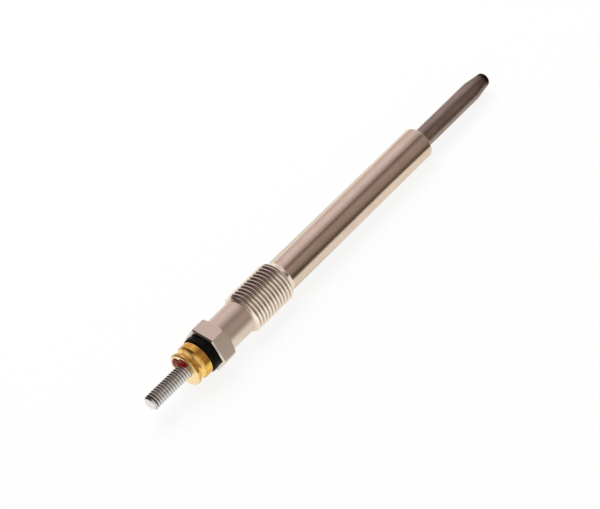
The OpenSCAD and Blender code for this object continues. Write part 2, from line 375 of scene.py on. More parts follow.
def guarded(outline, gap=0.03 * MM):
    """Outline with a point near both ends of every side, so that long sides shade flat.

    The points stand one gap inside a side longer than five gaps, and a quarter of a shorter side inside it.
    """
    outline = np.asarray(outline, dtype=float)
    side = np.diff(outline, axis=0)
    long = np.maximum(np.linalg.norm(side, axis=1, keepdims=True), JOIN)
    step = np.where(long > 5.0 * gap, gap * side / long, 0.25 * side)
    spread = np.stack([outline[:-1], outline[:-1] + step, outline[1:] - step], axis=1)
    return np.concatenate([spread.reshape(-1, 2), outline[-1:]])


def hexagon_radius(theta, half_flat, edge):
    """Polar radius of a hexagon with rounded edges.

    On a flat it is half the width across flats over the cosine of the angle from the flat's middle. Near an
    edge it is the far crossing with a circle of the edge's radius that touches both flats.
    """
    from_flat = np.abs((theta + TWELFTH) % SIXTH - TWELFTH)
    from_edge = TWELFTH - from_flat
    centre = (half_flat - edge) / math.cos(TWELFTH)
    on_edge = centre * np.cos(from_edge)
    on_edge = on_edge + np.sqrt(np.maximum(edge**2 - (centre * np.sin(from_edge)) ** 2, 0.0))
    return np.where(from_edge < edge_angle(half_flat, edge), on_edge, half_flat / np.cos(from_flat))


def edge_angle(half_flat, edge):
    """Half the angle about the axis that one rounded hexagon edge takes up."""
    return TWELFTH - math.atan((half_flat - edge) * math.tan(TWELFTH) / half_flat)


def hexagon_columns(half_flat, edge):
    """Angles about the axis, close together on the rounded edges and even on the flats."""
    tight = edge_angle(half_flat, edge)
    on_edge = np.linspace(0.0, tight, HEX_EDGE_COLUMNS)
    on_flat = np.linspace(GUARD * tight, TWELFTH, HEX_FLAT_COLUMNS)
    half = np.concatenate([on_edge, on_flat])
    sector = np.concatenate([half, SIXTH - half[-2:0:-1]])
    columns = (TWELFTH + SIXTH * np.arange(6)[:, None] + sector[None, :]).ravel()
    return np.append(columns, columns[0] + TURN)


def thread_rows(start, stop, pitch, theta):
    """Rows of a right-hand thread: distances along the axis, and depths as shares of the full depth.

    Each row keeps its place on the profile, so it follows the helix: its distance grows by one pitch in a
    turn, and is held at both ends. The profile is a cosine wave, the rounded form of a rolled thread.
    """
    place = np.linspace(-0.5, 0.5, THREAD_STEPS, endpoint=False)
    depth = 0.5 - 0.5 * np.cos(TURN * place)
    turns = np.arange(-1, math.ceil((stop - start) / pitch) + 1)
    phase = (turns[:, None] + place[None, :]).reshape(-1, 1)
    along = np.clip(start + pitch * (phase + theta[None, :] / TURN), start, stop)
    return along, np.tile(depth, len(turns))[:, None]


def grid_mesh(name, points, settings):
    """Mesh of an open grid of points in the plug's coordinates.

    Points that coincide are joined, which closes the seam round the axis, the poles and the loops.
    """
    stud_end, along, first, second = plug_frame(settings)
    index = np.arange(points.shape[0] * points.shape[1]).reshape(points.shape[:2])
    quads = np.stack([index[:-1, :-1], index[:-1, 1:], index[1:, 1:], index[1:, :-1]], axis=-1)
    places = np.array(stud_end) + points.reshape(-1, 3) @ np.array([along, first, second])
    mesh = bpy.data.meshes.new(name)
    mesh.from_pydata(places.tolist(), [], quads.reshape(-1, 4).tolist())
    joined = bmesh.new()
    joined.from_mesh(mesh)
    bmesh.ops.remove_doubles(joined, verts=joined.verts, dist=JOIN)
    joined.to_mesh(mesh)
    joined.free()
    mesh.shade_smooth()
    mesh.set_sharp_from_angle(angle=SHARP_ANGLE)
    return mesh


def turned_mesh(name, outline, settings):
    """Surface of revolution of an outline of distances along the axis and radii."""
    outline = np.asarray(outline, dtype=float)
    return grid_mesh(name, about_axis(outline[:, :1], outline[:, 1:], round_columns()[None, :]), settings)


def add_piece(name, mesh, material, node):
    """Puts a finished mesh into the scene as the visible stand-in of a CAD node."""
    mesh.materials.append(material)
    piece = bpy.data.objects.new(name, mesh)
    bpy.context.scene.collection.objects.link(piece)
    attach(piece, BODY)
    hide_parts(node)
    return piece


def shell_mesh(settings):
    """Closed shell: hexagon, neck, threaded stretch, body, cone and nose outside, and the bore inside.

    Row by row the outline runs from the head to the nose and back through the bore. At the neck the hexagon's
    chamfer is a cone. It begins before the face by (hexagon's radius less the face's) times the chamfer's
    tangent. The threaded stretch is the least of the thread's radius and of the cones at its two ends.
    """
    shell, element, terminal = settings.shell, settings.element, settings.terminal
    at = stations(settings)
    half_flat = shell.hex_af / 2.0
    theta = hexagon_columns(half_flat, shell.hex_edge)
    hexagon = hexagon_radius(theta, half_flat, shell.hex_edge)
    face = np.full_like(theta, half_flat - shell.face_inset)
    rise = (hexagon - face) * math.tan(shell.hex_chamfer)
    spigot_r, neck_r, body_r = terminal.spigot_d / 2.0, shell.neck_d / 2.0, shell.body_d / 2.0
    tube_r, bore_r = element.tube_d / 2.0, shell.bore_d / 2.0

    def ring(along, radius):
        return np.stack(np.broadcast_arrays(along + 0.0 * theta, radius), axis=-1)

    fine, broken, filleted, rolled = 0.3 * shell.edge, shell.edge, 2.0 * shell.edge, 4.0 * shell.edge
    head = rounded(
        [
            ring(at.hex, spigot_r),
            ring(at.hex, hexagon - shell.near_width),
            ring(at.hex + shell.near_depth, hexagon),
            ring(at.neck - rise, hexagon),
            ring(at.neck, face),
            ring(at.neck, neck_r),
            ring(at.thread, neck_r),
        ],
        [fine, fine, broken, broken, filleted],
    )
    along, depth = thread_rows(at.thread, at.body, shell.thread_pitch, theta)
    crest = shell.thread_d / 2.0
    near_cone = neck_r + (along - at.thread) * (crest - neck_r) / shell.thread_lead
    far_cone = body_r + (at.body - along) * (crest - body_r) / shell.thread_run_out
    thread = np.minimum(crest - depth * shell.thread_depth, np.minimum(near_cone, far_cone))
    threaded = np.stack([along, thread], axis=-1)
    front = rounded(
        [
            ring(at.body, body_r),
            ring(at.cone, body_r),
            ring(at.nose, shell.nose_d / 2.0),
            ring(at.nose, tube_r),
            ring(at.tube, tube_r),
            ring(at.tube, bore_r),
            ring(at.recess_end, bore_r),
            ring(at.recess_end, spigot_r),
        ],
        [rolled] + [broken] * 5,
    )
    outline = np.concatenate([head[:-1], threaded, front[1:], head[:1]])
    points = about_axis(outline[..., 0], outline[..., 1], theta[None, :])
    return grid_mesh("shell_plated", points, settings)


def rod_mesh(settings):
    """Terminal rod: a stud with a helical thread, then the plain rod in steps down to the coil's spigot.

    The stud's radius is the least of the thread's and of its chamfer's cone.
    """
    terminal = settings.terminal
    at = stations(settings)
    node_low, node_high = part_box("terminal_rod")
    rod_end = (node_high.x - node_low.x) / plug_frame(settings)[1].x
    crest = terminal.stud_d / 2.0
    theta = round_columns()
    thread_end = at.nut + terminal.stud_pitch
    along, depth = thread_rows(0.0, thread_end, terminal.stud_pitch, theta)
    thread = np.minimum(crest - depth * terminal.stud_depth, crest - terminal.stud_chamfer + along)
    threaded = np.stack([along, thread], axis=-1)
    spigot_from = rod_end - terminal.rod_tip_len
    step_at = at.tube - terminal.rod_step
    rod = rounded(
        [
            (thread_end, terminal.pitch_d / 2.0),
            (at.spigot_end, terminal.pitch_d / 2.0),
            (at.spigot_end, terminal.rod_d / 2.0),
            (step_at, terminal.rod_d / 2.0),
            (step_at, terminal.rod_front_d / 2.0),
            (spigot_from, terminal.rod_front_d / 2.0),
            (spigot_from, terminal.rod_tip_d / 2.0),
            (rod_end, terminal.rod_tip_d / 2.0),
            (rod_end, 0.0),
        ],
        [terminal.rod_edge] * 7,
    )
    rod = np.broadcast_to(rod[:, None, :], (len(rod), len(theta), 2))
    outline = np.concatenate([np.zeros_like(rod[:1]), threaded, rod])
    points = about_axis(outline[..., 0], outline[..., 1], theta[None, :])
    return grid_mesh("terminal_rod_threaded", points, settings)


def tube_mesh(settings):
    """Glow tube: the cavity's outline from its closed end, then the outside with taper and rounded tip."""
    element = settings.element
    at = stations(settings)
    outer, tip = element.tube_d / 2.0, element.tip_d / 2.0
    inner, tip_inner = outer - element.tube_wall, tip - element.tube_wall
    edge = element.tip_round
    setbacks = np.array([0.1, 0.3, 0.1, 0.1, 0.6]) * MM
    wall = rounded(
        [
            (at.cavity_end, 0.0),
            (at.cavity_end, tip_inner),
            (at.taper, inner),
            (at.tube, inner),
            (at.tube, outer),
            (at.taper, outer),
            (at.tip - edge, tip),
        ],
        setbacks,
        steps=8,
    )
    end = arc((at.tip - edge, tip - edge), edge, 90.0, 0.0, steps=6)
    outline = np.concatenate([wall[:-1], end, [(at.tip, 0.0)]])
    return turned_mesh("glow_tube_drawn", outline, settings)


def nut_mesh(settings):
    """Round nut: countersunk face, rounded bead, round hollow and collar, and the bore back.

    The hollow is an arc over its width. Its radius is (half the width squared plus the depth squared) over
    twice the depth, so that it passes both edges and its deepest point.
    """
    terminal = settings.terminal
    at = stations(settings)
    bore, sink, rim = terminal.pitch_d / 2.0, terminal.nut_sink, terminal.rim_round
    bead_r, collar_r = terminal.bead_d / 2.0, terminal.nut_d / 2.0
    bead_end = at.nut + terminal.bead_h
    collar_at = bead_end + terminal.cove_len
    half_len, depth = terminal.cove_len / 2.0, terminal.cove_depth
    cove_r = (half_len**2 + depth**2) / (2.0 * depth)
    cove_half = math.degrees(math.asin(half_len / cove_r))
    front = at.nut + terminal.bead_round, bead_r - terminal.bead_round
    cove = bead_end + half_len, bead_r - rim - depth + cove_r
    outline = np.concatenate(
        [
            [(at.nut + sink, bore), (at.nut, bore + sink)],
            arc(front, terminal.bead_round, 180.0, 90.0),
            arc((bead_end - rim, bead_r - rim), rim, 90.0, 0.0),
            arc(cove, cove_r, 270.0 - cove_half, 270.0 + cove_half),
            arc((collar_at + rim, collar_r - rim), rim, 180.0, 90.0),
            arc((at.washer - rim, collar_r - rim), rim, 90.0, 0.0),
            [(at.washer, bore + sink), (at.washer - sink, bore), (at.nut + sink, bore)],
        ]
    )
    return turned_mesh("round_nut_turned", guarded(outline), settings)


def washer_mesh(settings):
    """Insulating washer: a ring with well rounded edges, its spigot and its hole."""
    terminal = settings.terminal
    at = stations(settings)
    hole = terminal.washer_bore / 2.0
    spigot, edge = terminal.spigot_d / 2.0, terminal.washer_round
    edge_r = terminal.washer_d / 2.0 - edge
    outline = np.concatenate(
        [
            [(at.washer, hole)],
            arc((at.washer + edge, edge_r), edge, 180.0, 90.0),
            arc((at.hex - edge, edge_r), edge, 90.0, 0.0),
            [(at.hex, spigot), (at.spigot_end, spigot), (at.spigot_end, hole), (at.washer, hole)],
        ]
    )
    return turned_mesh("insulating_washer_moulded", guarded(outline), settings)


def lacquer_mesh(settings):
    """Dab of lacquer on the nut's face: a flat drop's section carried round the stud.

    The section is an oval loop that stands on the face and climbs the stud's last turn of thread. Its outer
    radius dips in where the notch is. Its width and height shrink to nothing at both ends, as the fourth
    root of one less the fourth power of the distance from the middle.
    """
    terminal = settings.terminal
    at = stations(settings)
    sections, loop_points = 97, 40
    wide_loop, high_loop = 0.8, 0.7
    run = np.linspace(-1.0, 1.0, sections)[:, None]
    psi = round_columns(loop_points)[None, :]
    theta = terminal.lacquer_from + terminal.lacquer_span * (run + 1.0) / 2.0
    off_notch = np.abs(theta - terminal.lacquer_from - terminal.notch_at)
    notch = np.clip(1.0 - off_notch / (terminal.notch_span / 2.0), 0.0, 1.0)
    full = (1.0 - run**4) ** 0.25
    stud_r = terminal.stud_d / 2.0
    inner_r = stud_r - terminal.lacquer_sunk
    outer_r = terminal.lacquer_d / 2.0 - notch * (terminal.lacquer_d - terminal.notch_d) / 2.0
    middle, half = (inner_r + outer_r) / 2.0, (outer_r - inner_r) / 2.0 * full
    radius = middle + half * np.sign(np.cos(psi)) * np.abs(np.cos(psi)) ** wide_loop
    off_stud = np.clip((radius - stud_r) / terminal.lacquer_foot, 0.0, 1.0)
    height = terminal.lacquer_h + terminal.lacquer_climb * (1.0 - off_stud) ** 2
    upper = height * full * np.abs(np.sin(psi)) ** high_loop
    lower = terminal.lacquer_under * full * np.sin(psi)
    rise = np.where(np.sin(psi) > 0.0, upper, lower)
    return grid_mesh("locking_lacquer_dab", about_axis(at.nut - rise, radius, theta), settings)


def add_node(tree, kind, inputs=None, **settings):
    """New shader node with its settings, and with its sockets set to values or linked to other sockets."""
    node = tree.nodes.new(kind)
    for name, value in settings.items():
        setattr(node, name, value)
    for name, value in (inputs or {}).items():
        if isinstance(value, bpy.types.NodeSocket):
            tree.links.new(value, node.inputs[name])
        else:
            node.inputs[name].default_value = value
    return node


def ramp(tree, factor, stops):
    """Colour ramp over a factor, from (position, colour) stops."""
    node = add_node(tree, "ShaderNodeValToRGB", {"Fac": factor})
    elements = node.color_ramp.elements
    while len(elements) < len(stops):
        elements.new(0.5)
    for element, (position, colour) in zip(elements, stops):
        element.position = position
        element.color = (*colour, 1.0)
    return node.outputs["Color"]


def span(tree, value, start, stop, low, high):
    """Value mapped from start..stop to low..high and held at the ends."""
    node = add_node(
        tree,
        "ShaderNodeMapRange",
        {"Value": value, "From Min": start, "From Max": stop, "To Min": low, "To Max": high},
    )
    return node.outputs["Result"]


def noise(tree, coordinates, stretch, detail=3.0, roughness=0.55):
    """Noise over coordinates, with so many waves to the metre in each direction."""
    scaled = add_node(tree, "ShaderNodeMapping", {"Vector": coordinates, "Scale": stretch})
    texture = add_node(
        tree,
        "ShaderNodeTexNoise",
        {"Vector": scaled.outputs["Vector"], "Scale": 1.0, "Detail": detail, "Roughness": roughness},
    )
    return texture.outputs["Fac"]


def blend(tree, factor, first, second):
    """Colour between two colours or colour sockets."""
    node = tree.nodes.new("ShaderNodeMix")
    node.data_type = "RGBA"
    for socket, value in ((node.inputs[0], factor), (node.inputs[6], first), (node.inputs[7], second)):
        if isinstance(value, bpy.types.NodeSocket):
            tree.links.new(value, socket)
        elif socket.type == "RGBA":
            socket.default_value = (*value, 1.0)
        else:
            socket.default_value = value
    return node.outputs[2]


def combine(tree, operation, first, second):
    """Number worked out from two numbers or sockets."""
    return add_node(tree, "ShaderNodeMath", {0: first, 1: second}, operation=operation).outputs[0]


def dot(tree, vector, direction):
    """Dot product of a vector socket and a fixed direction."""
    node = add_node(tree, "ShaderNodeVectorMath", {0: vector, 1: direction}, operation="DOT_PRODUCT")
    return node.outputs["Value"]


def band(tree, along, rise, fall, height=1.0):
    """Share that rises to its height over one range and falls back to nothing over another."""
    begun = span(tree, along, *rise, 0.0, height)
    ended = span(tree, along, *fall, 1.0, 0.0)
    return combine(tree, "MULTIPLY", begun, ended)


def darker(colour, share):
    """Colour times a share."""
    return [share * part for part in colour]


def new_material(name, settings):
    """Material with the plug's own coordinates.

    They are Object coordinates, moved to the stud's end and turned to the axis.
    """
    stud_end, along, first, second = plug_frame(settings)
    material = bpy.data.materials.new(name)
    material.use_nodes = True
    tree = material.node_tree
    turn = Matrix((along, first, second)).to_euler()
    place = add_node(tree, "ShaderNodeTexCoord").outputs["Object"]
    moved = add_node(
        tree,
        "ShaderNodeMapping",
        {"Vector": place, "Rotation": turn, "Location": -(turn.to_matrix() @ stud_end)},
    )
    return material, tree, tree.nodes["Principled BSDF"], moved.outputs["Vector"]


def axis_distance(tree, coordinates):
    """Distance along the plug's axis from the stud's free end."""
    return add_node(tree, "ShaderNodeSeparateXYZ", {"Vector": coordinates}).outputs["X"]


def axis_radius(tree, coordinates):
    """Distance from the plug's axis."""
    across = (0.0, 1.0, 1.0)
    flat = add_node(tree, "ShaderNodeVectorMath", {0: coordinates, 1: across}, operation="MULTIPLY")
    reach = add_node(tree, "ShaderNodeVectorMath", {0: flat.outputs["Vector"]}, operation="LENGTH")
    return reach.outputs["Value"]


def tint_over(tree, shader, share, colour):
    """Blends the shader's linked base colour towards another colour by a share."""
    base = shader.inputs["Base Color"]
    tree.links.new(blend(tree, share, base.links[0].from_socket, colour), base)


def set_bump(tree, shader, height, strength, distance):
    """Bump from a height socket into a shader."""
    bump = add_node(
        tree, "ShaderNodeBump", {"Height": height, "Strength": strength, "Distance": distance}
    )
    tree.links.new(bump.outputs["Normal"], shader.inputs["Normal"])


def lathe_marks(tree, shader, coordinates, strength=0.25):
    """Fine rings round the axis, as a lathe's tool leaves them."""
    rings = noise(tree, coordinates, RING_WAVES, detail=2.0)
    set_bump(tree, shader, rings, strength, RING_DEPTH)


def stained_metal(name, settings, colour, stain, rough, stain_waves=220.0):
    """Metal with faint stains drawn out along the axis, and with uneven gloss."""
    material, tree, shader, coordinates = new_material(name, settings)
    waves = stain_waves, 3.0 * stain_waves, 3.0 * stain_waves
    stains = span(tree, noise(tree, coordinates, waves, detail=5.0), 0.38, 0.66, 0.0, 1.0)
    tree.links.new(blend(tree, stains, colour, stain), shader.inputs["Base Color"])
    speckle = noise(tree, coordinates, SPECKLE_WAVES, detail=2.0)
    tree.links.new(span(tree, speckle, 0.3, 0.7, *rough), shader.inputs["Roughness"])
    shader.inputs["Metallic"].default_value = 1.0
    return material, tree, shader, coordinates


def nickel_material(settings):
    """Satin nickel plating that changes by stretches along the axis.

    It is paler and duller on the hexagon and the neck than on the ground body. On the engine thread it is
    brighter, a painted highlight, and darker in that thread's grooves by the distance from the axis, a
    painted shade.
    """
    finish, shell = settings.finish, settings.shell
    at = stations(settings)
    material, tree, shader, coordinates = stained_metal(
        "nickel_plate", settings, finish.nickel, finish.nickel_stain, (0.0, 0.05)
    )
    along = axis_distance(tree, coordinates)
    place = span(tree, along, 0.0, at.tip, 0.0, 1.0)
    near_face_end = at.hex + 0.1 * MM
    starts = [start / at.tip for start in (0.0, near_face_end, at.neck, at.thread, at.body)]
    step = 0.001

    def stretches(near_face, hexagon, neck, thread, body):
        """Ramp that holds one value on each stretch, with a short step between two stretches."""
        values = near_face, hexagon, neck, thread, body
        stops = [(start + step, value) for start, value in zip(starts, values)]
        stops += [(end, value) for end, value in zip(starts[1:], values)]
        return ramp(tree, place, [(position, (value,) * 3) for position, value in sorted(stops)])

    tint_over(tree, shader, stretches(1.0, 1.0, 0.6, 0.0, 0.0), finish.nickel_pale)
    # Painted highlight: the threaded stretch takes the brighter thread colour.
    tint_over(tree, shader, stretches(0.0, 0.0, 0.0, 1.0, 0.0), finish.thread_highlight)
    crest, depth = shell.thread_d / 2.0, shell.thread_depth
    # Painted shade: the engine thread's grooves are darkened by distance from the axis.
    groove_shade = span(tree, axis_radius(tree, coordinates), crest - depth, crest - 0.4 * depth, 0.9, 0.0)
    begun = at.thread + 0.4 * MM, at.thread + 0.8 * MM
    ended = at.body - 2.0 * MM, at.body - 0.8 * MM
    groove_shade = combine(tree, "MULTIPLY", groove_shade, band(tree, along, begun, ended))
    tint_over(tree, shader, groove_shade, finish.nickel_groove_shade)
    lathe_marks(tree, shader, coordinates, stretches(0.25, 0.25, 0.25, 0.05, 0.25))
    uneven = shader.inputs["Roughness"].links[0].from_socket
    dull = stretches(0.3, 0.42, 0.35, 0.15, 0.18)
    tree.links.new(combine(tree, "ADD", dull, uneven), shader.inputs["Roughness"])
    return material


def alloy_material(settings):
    """Oxidised tube alloy that gets darker towards the tip and darkest on it."""
    finish = settings.finish
    tip = stations(settings).tip
    material, tree, shader, coordinates = stained_metal(
        "tube_alloy", settings, finish.alloy, darker(finish.alloy, 0.8), (0.3, 0.42)
    )
    lathe_marks(tree, shader, coordinates)
    along = axis_distance(tree, coordinates)
    # The alloy darkens towards the tip and is darkest on it.
    darkening = span(tree, along, tip - 7.5 * MM, tip - 2.5 * MM, 0.0, 0.4)
    darkest = span(tree, along, tip - 2.9 * MM, tip - 1.2 * MM, 0.0, 1.0)
    tint_over(tree, shader, combine(tree, "MAXIMUM", darkening, darkest), finish.tip_darkening)
    return material


def zinc_material(settings):
    """Zinc plating with painted shade in the thread's grooves by distance from the axis, darker in the first
    ones.
    """
    finish, terminal = settings.finish, settings.terminal
    material, tree, shader, coordinates = stained_metal(
        "zinc_plate", settings, finish.zinc, darker(finish.zinc, 0.86), (0.22, 0.36)
    )
    lathe_marks(tree, shader, coordinates, 0.1)
    along = axis_distance(tree, coordinates)
    crest = terminal.stud_d / 2.0
    # Painted shade: the stud's grooves are darkened by distance from the axis, more so in the first grooves.
    groove_shade = span(tree, axis_radius(tree, coordinates), crest - terminal.stud_depth, crest, 1.0, 0.0)
    behind_end = span(tree, along, 0.1 * MM, 0.4 * MM, 0.0, 1.0)
    first_grooves = span(tree, along, 1.2 * MM, 2.0 * MM, 1.0, 0.0)
    dark = blend(tree, first_grooves, finish.zinc_groove_shade, finish.first_grooves_dark)
    tint_over(tree, shader, combine(tree, "MULTIPLY", groove_shade, behind_end), dark)
    return material


def brass_material(settings):
    """Uneven brass with brown tarnish blotches; a painted highlight makes the hollow brighter and the faced
    end paler.
    """
    finish, terminal = settings.finish, settings.terminal
    material, tree, shader, coordinates = stained_metal(
        "brass", settings, finish.brass, finish.tarnish, (0.22, 0.32), 420.0
    )
    set_bump(tree, shader, noise(tree, coordinates, BRASS_WAVES, detail=0.0), 0.6, BRASS_DEPTH)
    along = axis_distance(tree, coordinates)
    face_at = stations(settings).nut
    hollow_at = face_at + terminal.bead_h
    hollow_end = hollow_at + terminal.cove_len
    soft = 0.3 * MM
    begun, ended = (hollow_at, hollow_at + soft), (hollow_end - soft, hollow_end)
    # Painted highlight: the hollow is brightened by a band along the axis.
    tint_over(tree, shader, band(tree, along, begun, ended, 0.8), finish.hollow_highlight)
    # Painted highlight: the faced end is made paler.
    faced = span(tree, along, face_at + 0.05 * MM, face_at + soft, 1.0, 0.0)
    tint_over(tree, shader, faced, finish.face_highlight)
    return material


def plain_material(name, settings, colour, dark, rough, waves, depth, shine=0.5):
    """Plastic, rubber, powder or lacquer: two tones in fine blotches with a matching grain."""
    material, tree, shader, coordinates = new_material(name, settings)
    grain = noise(tree, coordinates, (waves,) * 3, detail=4.0)
    tone = span(tree, grain, 0.35, 0.65, 0.0, 1.0)
    tree.links.new(blend(tree, tone, darker(colour, dark), colour), shader.inputs["Base Color"])
    tree.links.new(span(tree, grain, 0.3, 0.7, *rough), shader.inputs["Roughness"])
    shader.inputs["Specular IOR Level"].default_value = shine
    set_bump(tree, shader, grain, 0.3, depth)
    return material


def wire_material(name, settings, colour, dark, rough):
    """Drawn wire with fine marks and faint stains."""
    material, tree, shader, coordinates = stained_metal(name, settings, colour, darker(colour, dark), rough)
    lathe_marks(tree, shader, coordinates)
    return material


class GLOWPLUG_OT_shell(Operator):
    """Build the plated steel shell with its hexagon and engine thread"""

    bl_idname = "glow_plug.shell"
    bl_label = "Shell"

    def execute(self, context):
        settings = context.scene.glow_plug
        mesh, material = shell_mesh(settings), nickel_material(settings)
        add_piece("shell_plated", mesh, material, "shell")
        return {"FINISHED"}


class GLOWPLUG_OT_glow_tube(Operator):
    """Build the drawn glow tube with its tapered tip"""

    bl_idname = "glow_plug.glow_tube"
    bl_label = "Glow tube"

    def execute(self, context):
        settings = context.scene.glow_plug
        mesh, material = tube_mesh(settings), alloy_material(settings)
        add_piece("glow_tube_drawn", mesh, material, "glow_tube")
        return {"FINISHED"}


class GLOWPLUG_OT_terminal_rod(Operator):
    """Build the terminal rod with its threaded stud"""

    bl_idname = "glow_plug.terminal_rod"
    bl_label = "Terminal rod"

    def execute(self, context):
        settings = context.scene.glow_plug
        mesh, material = rod_mesh(settings), zinc_material(settings)
        add_piece("terminal_rod_threaded", mesh, material, "terminal_rod")
        return {"FINISHED"}


class GLOWPLUG_OT_round_nut(Operator):
    """Build the turned brass nut"""

    bl_idname = "glow_plug.round_nut"
    bl_label = "Round nut"

    def execute(self, context):
        settings = context.scene.glow_plug
        mesh, material = nut_mesh(settings), brass_material(settings)
        add_piece("round_nut_turned", mesh, material, "round_nut")
        return {"FINISHED"}


class GLOWPLUG_OT_insulating_washer(Operator):
    """Build the black insulating washer"""

    bl_idname = "glow_plug.insulating_washer"
    bl_label = "Insulating washer"

    def execute(self, context):
        settings = context.scene.glow_plug
        colour = settings.finish.insulator
        mesh = washer_mesh(settings)
        material = plain_material(
            "black_insulator", settings, colour, 0.5, (0.3, 0.5), waves=1500.0, depth=0.01 * MM, shine=0.05
        )
        add_piece("insulating_washer_moulded", mesh, material, "insulating_washer")
        return {"FINISHED"}


class GLOWPLUG_OT_locking_lacquer(Operator):
    """Build the dab of red lacquer that locks the nut"""

    bl_idname = "glow_plug.locking_lacquer"
    bl_label = "Locking lacquer"

    def execute(self, context):
        settings = context.scene.glow_plug
        colour = settings.finish.lacquer
        mesh = lacquer_mesh(settings)
        material = plain_material(
            "red_lacquer", settings, colour, 0.6, (0.18, 0.34), waves=900.0, depth=0.02 * MM, shine=0.12
        )
        add_piece("locking_lacquer_dab", mesh, material, "locking_lacquer")
        return {"FINISHED"}


class GLOWPLUG_OT_inner_parts(Operator):
    """Finish the inner CAD nodes: coils, powder and seals"""

    bl_idname = "glow_plug.inner_parts"
    bl_label = "Inner parts"

    def execute(self, context):
        settings = context.scene.glow_plug
        finish = settings.finish
        rubber = plain_material(
            "seal_rubber", settings, finish.rubber, 0.6, (0.6, 0.8), waves=3000.0, depth=0.02 * MM
        )
        powder = plain_material(
            "magnesia", settings, finish.magnesia, 0.85, (0.8, 0.95), waves=6000.0, depth=0.03 * MM
        )
        hot = wire_material("heating_wire", settings, finish.heating_wire, 0.7, (0.3, 0.45))
        cool = wire_material("regulating_wire", settings, finish.regulating_wire, 0.8, (0.25, 0.4))
        finishes = {
            "head_o_ring": rubber,
            "tube_seal": rubber,
            "magnesia_fill": powder,
            "heating_coil": hot,
            "regulating_coil": cool,
        }
        for node, material in finishes.items():
            frame["nodes"][node].data.materials[0] = material
        return {"FINISHED"}


def painted_floor_reflection(tree, stage):
    """Painted reflection: colour that only reflections see in the floor, and a share that is one where it is
    the painted dark table.

    They see a painted sheet of paper on a painted dark table that the camera never sees. The paper is warm
    white, and plain white beside the stud, a painted highlight. Its front edge runs along the plug, and
    shifts move it. The table shows in front of that edge, in a corner behind the stud and at the far left.
    """
    place = add_node(tree, "ShaderNodeTexCoord").outputs["Object"]
    parts = add_node(tree, "ShaderNodeSeparateXYZ", {"Vector": place}).outputs
    along, depth = parts["X"], parts["Y"]
    slanted = dot(tree, place, (1.0, 0.54, 0.0))

    def edge(run, start, stop, low, high):
        """Soft edge from low to high over a run, with its start and stop in millimetres."""
        return span(tree, run, start * MM, stop * MM, low, high)

    # Each shift's run, its start and stop there, and how far the edge lies forward before and after it
    across = depth
    for run, start, stop, before, after in (
        (slanted, -36.0, -32.0, -967.0, 0.0),
        (slanted, -19.5, -17.5, 1000.0, 12.5),
        (along, -10.0, 30.0, 0.0, 6.0),
        (along, 35.0, 55.0, 0.0, -8.0),
    ):
        across = combine(tree, "ADD", across, edge(run, start, stop, before * MM, after * MM))
    # Painted reflection: a dark table and paper that only reflections see.
    table = blend(tree, edge(across, -70.0, -28.0, 0.0, 1.0), stage.painted_table_far, stage.painted_table_near)
    paper = blend(tree, edge(along, -40.0, -30.0, 1.0, 0.0), stage.sheet, stage.painted_white_sheet)
    dark = 0.0
    for first, second in (
        (edge(across, -1.5, 1.5, 1.0, 0.0), edge(along, -36.0, -26.0, 0.0, 1.0)),
        (edge(along, -55.0, -45.0, 1.0, 0.0), edge(depth, 12.0, 16.0, 0.0, 1.0)),
        (edge(along, -80.0, -70.0, 1.0, 0.0), edge(depth, -6.0, 0.0, 0.0, 1.0)),
    ):
        dark = combine(tree, "MAXIMUM", dark, combine(tree, "MULTIPLY", first, second))
    return blend(tree, dark, paper, table), dark


def add_floor(settings):
    """Pale floor whose lit colour is mixed with plain white for the camera and for refractions.

    Reflections alone see painted paper and a painted dark table there, a painted reflection.
    """
    stage = settings.stage
    half = stage.floor_size / 2.0
    corners = half * np.array([(-1.0, -1.0, 0.0), (1.0, -1.0, 0.0), (1.0, 1.0, 0.0), (-1.0, 1.0, 0.0)])
    mesh = bpy.data.meshes.new("floor")
    mesh.from_pydata(corners.tolist(), [], [(0, 1, 2, 3)])
    material = bpy.data.materials.new("floor")
    material.use_nodes = True
    tree = material.node_tree
    tree.nodes.remove(tree.nodes["Principled BSDF"])
    path = add_node(tree, "ShaderNodeLightPath").outputs
    glossy = path["Is Glossy Ray"]
    painted_reflection, dark = painted_floor_reflection(tree, stage)
    seen = combine(tree, "MAXIMUM", path["Is Camera Ray"], path["Is Transmission Ray"])
    seen = combine(tree, "MULTIPLY", seen, stage.floor_glow)
    mirrored = combine(tree, "MULTIPLY", glossy, span(tree, dark, 0.0, 1.0, stage.floor_glow, 1.0))
    lit = add_node(tree, "ShaderNodeBsdfDiffuse", {"Color": (*stage.floor, 1.0)}).outputs[0]
    glow = blend(tree, glossy, (1.0, 1.0, 1.0), painted_reflection)
    white = add_node(tree, "ShaderNodeEmission", {"Color": glow, "Strength": 1.0}).outputs[0]
    share = combine(tree, "MAXIMUM", seen, mirrored)
    mixed = add_node(tree, "ShaderNodeMixShader", {"Fac": share, 1: lit, 2: white})
    tree.links.new(mixed.outputs[0], tree.nodes["Material Output"].inputs["Surface"])
    mesh.materials.append(material)
    floor = bpy.data.objects.new("floor", mesh)
    bpy.context.scene.collection.objects.link(floor)


